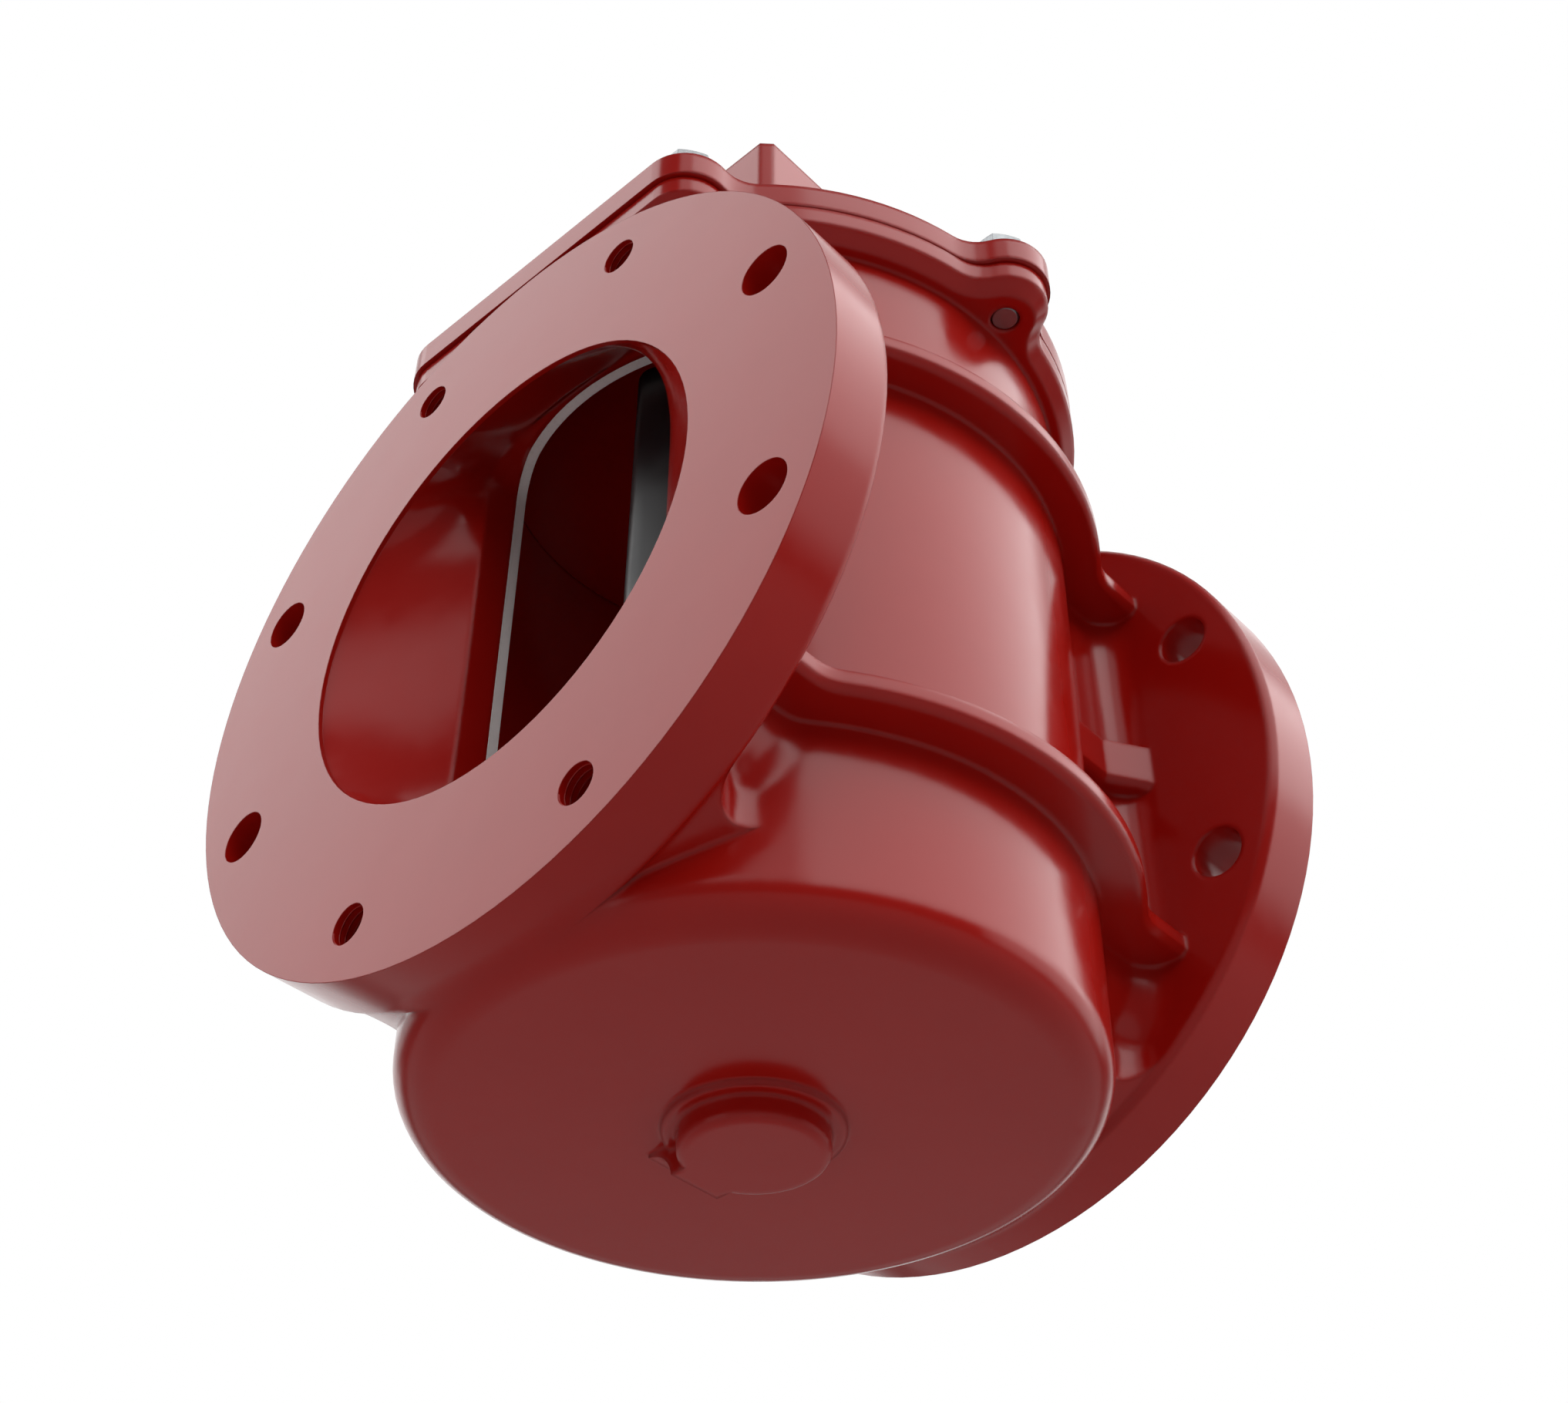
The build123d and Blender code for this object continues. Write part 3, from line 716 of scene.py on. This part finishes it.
def screw_mesh(props, low, high):
    """One cap screw from its end to the crown of its head, with the bonnet's face at height 0."""
    top = low + props.threaded
    rings = thread_rings(RING_STEPS, props.radius, props.pitch, props.depth, low, top, END_CHAMFER, 0.0)
    profile = (
        (props.radius, top + RUN_OUT),
        (props.radius, 0.0),
        (props.washer - FACE_BREAK, 0.0),
        (props.washer, FACE_BREAK),
        (props.washer, props.washer_t - WASHER_CHAMFER),
        (props.washer - WASHER_CHAMFER, props.washer_t),
    )
    rings += [circle_points(RING_STEPS, radius, z) for radius, z in profile]
    rings += hex_rings(props.flats, props.washer_t, high)
    return skin_rings(rings)


def nut_mesh(props, height):
    """One nut round its bore, from height 0 up."""
    bore = props.radius + NUT_GAP
    mouth = bore + NUT_CHAMFER
    profile = ((bore, height - NUT_CHAMFER), (bore, NUT_CHAMFER), (mouth, 0.0))
    rings = [circle_points(RING_STEPS, radius, z) for radius, z in profile]
    rings += hex_rings(props.flats, 0.0, height)
    rings.append(circle_points(RING_STEPS, mouth, height))
    return skin_rings(rings, loop=True)


class VALVE_OT_bonnet_screws(bpy.types.Operator):
    """Makes the bonnet's cap screws"""
    bl_idname = "valve.bonnet_screws"
    bl_label = "Bonnet screws"

    def execute(self, context):
        props = context.scene.valve_screws
        zinc = metal("zinc_plate", (0.30, 0.31, 0.32), rough=0.38, grain=0.000004, scuff=0.45)
        mesh = screw_mesh(props, SCREW_LOW - BONNET_TOP, SCREW_HIGH + props.crown - BONNET_TOP)
        bmesh.ops.rotate(mesh, verts=mesh.verts, matrix=Matrix.Rotation(props.turn, 3, "Z"))
        made = grow(to_object(mesh, "bonnet_screws", zinc), ring_tree(), {
            "Count": props.count, "Pitch radius": SCREW_PITCH_R, "First angle": FIRST_SCREW,
            "Centre": (STEM.x, STEM.y, BONNET_TOP), "Material": zinc,
        })
        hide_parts("bonnet_bolts")
        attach(made, "valve")
        return {"FINISHED"}


class VALVE_OT_gland_fasteners(bpy.types.Operator):
    """Makes the gland's studs and nuts"""
    bl_idname = "valve.gland_fasteners"
    bl_label = "Gland fasteners"

    def execute(self, context):
        props = context.scene.valve_gland
        zinc = metal("zinc_plate_gland", (0.32, 0.32, 0.33), rough=0.38, grain=0.000004, scuff=0.5)
        tree = ring_tree()
        rod = skin_rings(thread_rings(
            STUD_STEPS, props.radius, props.pitch, props.depth, 0.0, STUD_HIGH - STUD_LOW,
            STUD_CHAMFER, STUD_CHAMFER,
        ))
        nut = nut_mesh(props, NUT_HIGH - NUT_LOW)
        bmesh.ops.rotate(nut, verts=nut.verts, matrix=Matrix.Rotation(props.turn, 3, "Z"))
        rows = (
            (rod, "gland_threaded_studs", "gland_studs", STUD_LOW),
            (nut, "gland_hex_nuts", "gland_nuts", NUT_LOW),
        )
        for mesh, name, node, z in rows:
            made = grow(to_object(mesh, name, zinc), tree, {
                "Count": STUD_COUNT, "Pitch radius": STUD_PITCH_R, "First angle": FIRST_STUD,
                "Centre": (STEM.x, STEM.y, z), "Material": zinc,
            })
            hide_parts(node)
            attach(made, "valve")
        return {"FINISHED"}


def hole_points(mount):
    """Hole centres of a rectangular bolt pattern, and the direction into the metal."""
    dims = mount["dims"]
    out = Vector(mount["axis"])
    axes = [Vector(axis) for axis in ((1, 0, 0), (0, 1, 0), (0, 0, 1))]
    first, second = [axis for axis in axes if abs(axis.dot(out)) < 0.5]
    first *= dims["spacing_x_mm"] / 2 * MM
    second *= dims["spacing_y_mm"] / 2 * MM
    centre = Vector(mount["pos_m"])
    return [centre + one * first + other * second for one in (-1, 1) for other in (-1, 1)], -out


class VALVE_OT_tapped_threads(bpy.types.Operator):
    """Winds the threads in the tapped holes"""
    bl_idname = "valve.tapped_threads"
    bl_label = "Tapped threads"

    def execute(self, context):
        props = context.scene.valve_threads
        red = bpy.data.materials["red_enamel"]
        tree = thread_tree()
        whole = bmesh.new()
        rows = (
            ("seat_flange_tapped_holes", props.flange_depth, props.flange_pitch),
            ("outlet_flange_tapped_holes", props.flange_depth, props.flange_pitch),
            ("actuator_pad_bolts", props.pad_depth, props.pad_pitch),
        )
        for name, depth, pitch in rows:
            centres, inward = hole_points(MOUNTS[name])
            to_row = inward.to_track_quat("Z", "Y").to_matrix().to_4x4()
            spots = bmesh.new()
            for centre in centres:
                spots.verts.new(to_row.inverted() @ (centre + inward * props.ridge))
            part = grow(to_object(spots, "thread_spots", red), tree, {
                "Hole radius": MOUNTS[name]["dims"]["hole_r_mm"] * MM, "Depth": depth, "Pitch": pitch,
                "Ridge": props.ridge, "Material": red,
            })
            part.data.transform(to_row)
            whole.from_mesh(part.data)
            bpy.data.objects.remove(part)
        made = to_object(whole, "tapped_threads", red)
        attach(made, "valve")
        return {"FINISHED"}


# Stage

def floor_material(props):
    """A matt grey floor with faint clouds."""
    made, tree, where, shader = new_material("pale_floor")
    dust = noise(tree, where, scale=3.0, detail=4.0)
    low = tuple(0.96 * value for value in props.floor)
    set_inputs(tree, shader, {
        "Base Color": mix_colour(tree, dust, rgba(props.floor), rgba(low)),
        "Roughness": remap(tree, dust, 0.3, 0.7, 0.75, 0.85),
    })
    return made


def light_panel(tree, parts, azimuth, half_width, low, high, strength):
    """Brightness of a soft panel in the room's wall: strength inside it, 0 outside, soft at its edges."""
    x, y, z = parts
    turn = math.radians(azimuth)
    part_x = maths(tree, "MULTIPLY", x, math.cos(turn))
    part_y = maths(tree, "MULTIPLY", y, math.sin(turn))
    ahead = maths(tree, "ADD", part_x, part_y)
    level = maths(tree, "SQRT", maths(tree, "SUBTRACT", 1.0 + POLE_GUARD, maths(tree, "MULTIPLY", z, z)))
    across = maths(tree, "DIVIDE", ahead, level)
    ends = (half_width + PANEL_SOFTNESS, half_width - PANEL_SOFTNESS)
    outer, inner = (math.cos(math.radians(end)) for end in ends)
    inside = remap(tree, across, outer, inner, 0.0, strength)
    above = remap(tree, z, low - LOW_SOFTNESS, low + LOW_SOFTNESS, 0.0, 1.0)
    below = remap(tree, z, high - HIGH_SOFTNESS, high + HIGH_SOFTNESS, 1.0, 0.0)
    return maths(tree, "MULTIPLY", inside, maths(tree, "MULTIPLY", above, below))


def room_light(props):
    """A plain room, white for the camera, with soft light panels in its walls."""
    world = bpy.data.worlds.new("soft_room")
    bpy.context.scene.world = world
    world.use_nodes = True
    tree = world.node_tree
    tree.nodes.clear()
    parts = axis_parts(tree, tree.nodes.new("ShaderNodeTexCoord").outputs["Generated"])
    # Each panel: azimuth and half width in degrees, sines of its lower and upper end, brightness
    panels = (
        (-69.0, 55.0, 0.34, 0.92, props.panel),
        (-38.0, 28.0, -0.02, 0.92, 0.55 * props.panel),
        (130.0, 27.0, 0.36, 0.92, 0.87 * props.panel),
        (50.0, 60.0, 0.20, 0.92, props.fill),
        (45.0, 40.0, 0.05, 0.90, props.back),
        (170.0, 16.0, -0.10, 0.75, 0.4 * props.panel),
        (-138.0, 14.0, 0.34, 0.92, 0.45 * props.panel),
    )
    strength = props.room
    for panel in panels:
        strength = maths(tree, "MAXIMUM", strength, light_panel(tree, parts, *panel))
    seen = tree.nodes.new("ShaderNodeLightPath").outputs["Is Camera Ray"]
    both = add(tree, "ShaderNodeMix", {0: seen, 2: strength, 3: 1.0}, data_type="FLOAT").outputs[0]
    sky = add(tree, "ShaderNodeBackground", {"Color": (1.0, 1.0, 1.0, 1.0), "Strength": both})
    end = tree.nodes.new("ShaderNodeOutputWorld")
    tree.links.new(sky.outputs[0], end.inputs[0])


class VALVE_OT_stage(bpy.types.Operator):
    """Makes the floor, the light and the camera"""
    bl_idname = "valve.stage"
    bl_label = "Stage"

    def execute(self, context):
        props = context.scene.valve_stage
        mesh = bmesh.new()
        bmesh.ops.create_circle(mesh, cap_ends=True, segments=FLOOR_STEPS, radius=FLOOR_R)
        bmesh.ops.translate(mesh, verts=mesh.verts, vec=(STEM.x, STEM.y, props.floor_z))
        to_object(mesh, "floor", floor_material(props))
        room_light(props)
        context.scene.view_settings.view_transform = "Standard"
        lens = bpy.data.cameras.new("camera")
        lens.lens = props.lens
        lens.sensor_width = SENSOR_MM
        lens.sensor_fit = "HORIZONTAL"
        lens.clip_start = CLIP_START
        lens.clip_end = CLIP_END
        camera = bpy.data.objects.new("camera", lens)
        turn = Matrix((CAMERA_RIGHT, CAMERA_UP, -CAMERA_AHEAD)).transposed().to_4x4()
        camera.matrix_world = Matrix.Translation(props.eye) @ turn
        context.scene.collection.objects.link(camera)
        context.scene.camera = camera
        return {"FINISHED"}


class VALVE_PT_panel(bpy.types.Panel):
    """Lists the valve's pieces"""
    bl_idname = "VALVE_PT_panel"
    bl_label = "Plug valve"
    bl_space_type = "VIEW_3D"
    bl_region_type = "UI"
    bl_category = "Valve"

    def draw(self, context):
        for operator in OPERATORS:
            self.layout.operator(operator.bl_idname)


GROUPS = {
    "valve_paint": ValvePaint,
    "valve_screws": ValveScrews,
    "valve_gland": ValveGland,
    "valve_threads": ValveThreads,
    "valve_facing": ValveFacing,
    "valve_stage": ValveStage,
}
OPERATORS = (
    VALVE_OT_castings,
    VALVE_OT_seat,
    VALVE_OT_inner_parts,
    VALVE_OT_facing,
    VALVE_OT_bonnet_screws,
    VALVE_OT_gland_fasteners,
    VALVE_OT_tapped_threads,
    VALVE_OT_stage,
)


def register():
    for made in (*GROUPS.values(), *OPERATORS, VALVE_PT_panel):
        bpy.utils.register_class(made)
    for name, group in GROUPS.items():
        setattr(bpy.types.Scene, name, PointerProperty(type=group))


def unregister():
    for name in GROUPS:
        delattr(bpy.types.Scene, name)
    for made in reversed((*GROUPS.values(), *OPERATORS, VALVE_PT_panel)):
        bpy.utils.unregister_class(made)


def main():
    register()
    for operator in OPERATORS:
        group, name = operator.bl_idname.split(".")
        getattr(getattr(bpy.ops, group), name)()


if __name__ == "__main__":
    main()
